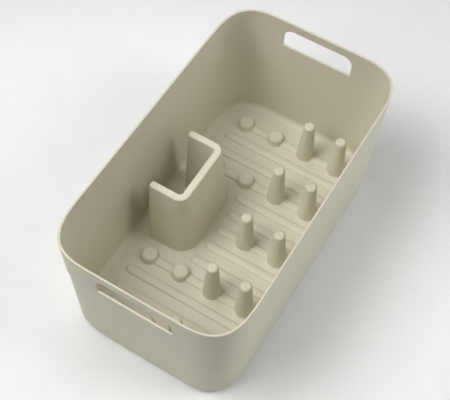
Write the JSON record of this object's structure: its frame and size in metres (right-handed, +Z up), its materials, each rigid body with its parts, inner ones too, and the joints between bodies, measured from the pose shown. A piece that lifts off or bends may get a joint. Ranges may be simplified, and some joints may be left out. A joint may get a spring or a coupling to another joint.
{
  "type": "dish drying rack",
  "caption": "Deep drying tub for dishes, with hand slots in its end walls, tall plate pegs, low rest studs, drainage ribs on the floor and a U-shaped cutlery holder.",
  "frame": {"origin": "on the worktop, under the middle of the tub", "axes": "+X across the tub towards the wall by the pegs, away from the cutlery holder; +Y along the tub towards the back end wall; +Z up"},
  "size_m": [0.2, 0.356, 0.1639],
  "materials": {
    "tub_plastic": "fine satin moulded polypropylene, sand coloured",
    "foot_rubber": "matte soft rubber"
  },
  "bodies": {
    "root": {"tub_shell": "tub_plastic", "cutlery_holder": "tub_plastic", "plate_peg_row1_inner": "tub_plastic", "plate_peg_row1_outer": "tub_plastic", "plate_peg_row2_inner": "tub_plastic", "plate_peg_row2_outer": "tub_plastic", "plate_peg_row3_inner": "tub_plastic", "plate_peg_row3_outer": "tub_plastic", "plate_peg_row4_inner": "tub_plastic", "plate_peg_row4_outer": "tub_plastic", "plate_peg_row5_inner": "tub_plastic", "plate_peg_row5_outer": "tub_plastic", "rest_stud_row1_inner": "tub_plastic", "rest_stud_row1_outer": "tub_plastic", "rest_stud_row2_inner": "tub_plastic", "rest_stud_row2_outer": "tub_plastic", "rest_stud_row4_inner": "tub_plastic", "rest_stud_row4_outer": "tub_plastic", "rest_stud_row5_inner": "tub_plastic", "rest_stud_row5_outer": "tub_plastic", "drain_rib_1": "tub_plastic", "drain_rib_2": "tub_plastic", "drain_rib_3": "tub_plastic", "drain_rib_4": "tub_plastic", "drain_rib_5": "tub_plastic", "drain_rib_6": "tub_plastic", "drain_rib_7": "tub_plastic", "drain_rib_8": "tub_plastic", "row_rib_1": "tub_plastic", "row_rib_2": "tub_plastic", "row_rib_3": "tub_plastic", "row_rib_4": "tub_plastic", "row_rib_5": "tub_plastic", "holder_rib_1": "tub_plastic", "holder_rib_2": "tub_plastic", "holder_rib_3": "tub_plastic", "foot_back_left": "foot_rubber", "foot_back_right": "foot_rubber", "foot_front_left": "foot_rubber", "foot_front_right": "foot_rubber"}
  },
  "joints": []
}
